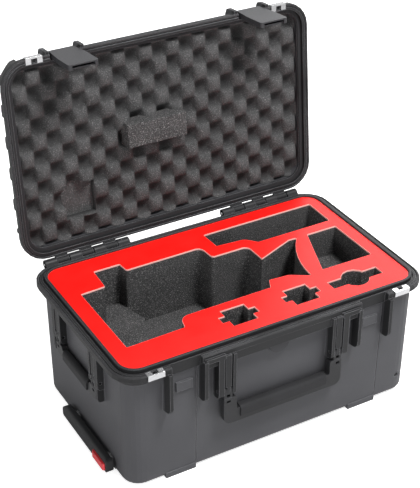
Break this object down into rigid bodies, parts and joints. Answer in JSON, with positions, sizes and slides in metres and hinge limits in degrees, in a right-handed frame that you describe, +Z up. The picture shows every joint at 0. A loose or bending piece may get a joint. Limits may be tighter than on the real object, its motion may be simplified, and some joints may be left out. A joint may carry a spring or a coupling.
{
  "type": "wheeled_transit_case",
  "caption": "Open wheeled hard case for a drone: hinged lid, red-topped cut foam, over-centre latches with triggers, fold-down handles and a pull-out handle",
  "frame": {"origin": "middle of the base's underside, on the cover of the pull handle's channel; the feet reach 3 mm below it", "axes": "+X runs along the front from the pull-handle end to the wheel end, -Y is out of the front with the latches and main handle, +Z is up"},
  "size_m": [0.607, 0.4766, 0.6204],
  "materials": {
    "shell_plastic": "fine moulded texture",
    "latch_plastic": "satin moulded",
    "grip_rubber": "soft matt",
    "charcoal_foam": "open-cell foam",
    "red_foam": "closed-cell foam sheet",
    "red_button": "gloss",
    "steel": "bright stainless",
    "tyre": "matt"
  },
  "bodies": {
    "base": {"base_shell": "shell_plastic", "foam_bed": "charcoal_foam", "foam_tray": "charcoal_foam", "red_foam_top": "red_foam", "left_base_padlock_plate": "steel", "right_base_padlock_plate": "steel", "pressure_valve": "latch_plastic", "pull_channel_cover": "shell_plastic", "front_pull_sleeve": "steel", "rear_pull_sleeve": "steel", "front_wheel_axle": "steel", "rear_wheel_axle": "steel", "left_hinge_pin": "steel", "right_hinge_pin": "steel", "front_handle_pin_a": "steel", "front_handle_pin_b": "steel", "left_handle_pin_a": "steel", "left_handle_pin_b": "steel", "right_handle_pin_a": "steel", "right_handle_pin_b": "steel"},
    "lid": {"lid_shell": "shell_plastic", "lid_gasket": "grip_rubber", "lid_foam": "charcoal_foam", "lid_press_block": "charcoal_foam", "left_lid_padlock_plate": "steel", "right_lid_padlock_plate": "steel", "left_latch_pin": "steel", "right_latch_pin": "steel"},
    "left_latch_body": {"left_latch": "latch_plastic", "left_trigger_pin": "steel"},
    "right_latch_body": {"right_latch": "latch_plastic", "right_trigger_pin": "steel"},
    "left_trigger_body": {"left_trigger": "latch_plastic"},
    "right_trigger_body": {"right_trigger": "latch_plastic"},
    "front_handle": {"front_handle_bow": "shell_plastic", "front_handle_grip": "grip_rubber"},
    "left_handle": {"left_handle_bow": "shell_plastic", "left_handle_grip": "grip_rubber"},
    "right_handle": {"right_handle_bow": "shell_plastic", "right_handle_grip": "grip_rubber"},
    "pull_handle": {"front_pull_tube": "steel", "rear_pull_tube": "steel", "pull_grip": "shell_plastic"},
    "pull_button": {"release_button": "red_button"},
    "front_wheel": {"front_wheel_tyre": "tyre", "front_wheel_hub": "shell_plastic"},
    "rear_wheel": {"rear_wheel_tyre": "tyre", "rear_wheel_hub": "shell_plastic"}
  },
  "joints": [
    {"name": "lid_hinge", "type": "hinge", "parent": "base", "child": "lid", "pos_m": [0, 0.19225, 0.235], "axis": [1, 0, 0], "range_deg": [0, 96]},
    {"name": "left_latch_hinge", "type": "hinge", "parent": "lid", "child": "left_latch_body", "pos_m": [-0.182, 0.24884, 0.6031], "axis": [1, 0, 0], "range_deg": [-110, 1.8]},
    {"name": "left_trigger_hinge", "type": "hinge", "parent": "left_latch_body", "child": "left_trigger_body", "pos_m": [-0.182, 0.20176, 0.60483], "axis": [1, 0, 0], "range_deg": [-4.5, 0], "stiffness_Nm_per_rad": 0.5},
    {"name": "right_latch_hinge", "type": "hinge", "parent": "lid", "child": "right_latch_body", "pos_m": [0.182, 0.24884, 0.6031], "axis": [1, 0, 0], "range_deg": [-110, 1.8]},
    {"name": "right_trigger_hinge", "type": "hinge", "parent": "right_latch_body", "child": "right_trigger_body", "pos_m": [0.182, 0.20176, 0.60483], "axis": [1, 0, 0], "range_deg": [-4.5, 0], "stiffness_Nm_per_rad": 0.5},
    {"name": "front_handle_hinge", "type": "hinge", "parent": "base", "child": "front_handle", "pos_m": [0, -0.18125, 0.1552], "axis": [1, 0, 0], "range_deg": [-95, 0]},
    {"name": "left_handle_hinge", "type": "hinge", "parent": "base", "child": "left_handle", "pos_m": [-0.2925, 0, 0.1732], "axis": [0, 1, 0], "range_deg": [0, 95]},
    {"name": "right_handle_hinge", "type": "hinge", "parent": "base", "child": "right_handle", "pos_m": [0.2925, 0, 0.1732], "axis": [0, 1, 0], "range_deg": [-95, 0]},
    {"name": "pull_handle_slide", "type": "slide", "parent": "base", "child": "pull_handle", "axis": [-1, 0, 0], "range_m": [0, 0.36]},
    {"name": "release_button_press", "type": "slide", "parent": "pull_handle", "child": "pull_button", "axis": [1, 0, 0], "range_m": [0, 0.0025], "stiffness_N_per_m": 400},
    {"name": "front_wheel_spin", "type": "hinge", "parent": "base", "child": "front_wheel", "pos_m": [0.256, -0.115, 0.0355], "axis": [0, 1, 0], "continuous": true},
    {"name": "rear_wheel_spin", "type": "hinge", "parent": "base", "child": "rear_wheel", "pos_m": [0.256, 0.115, 0.0355], "axis": [0, 1, 0], "continuous": true}
  ]
}
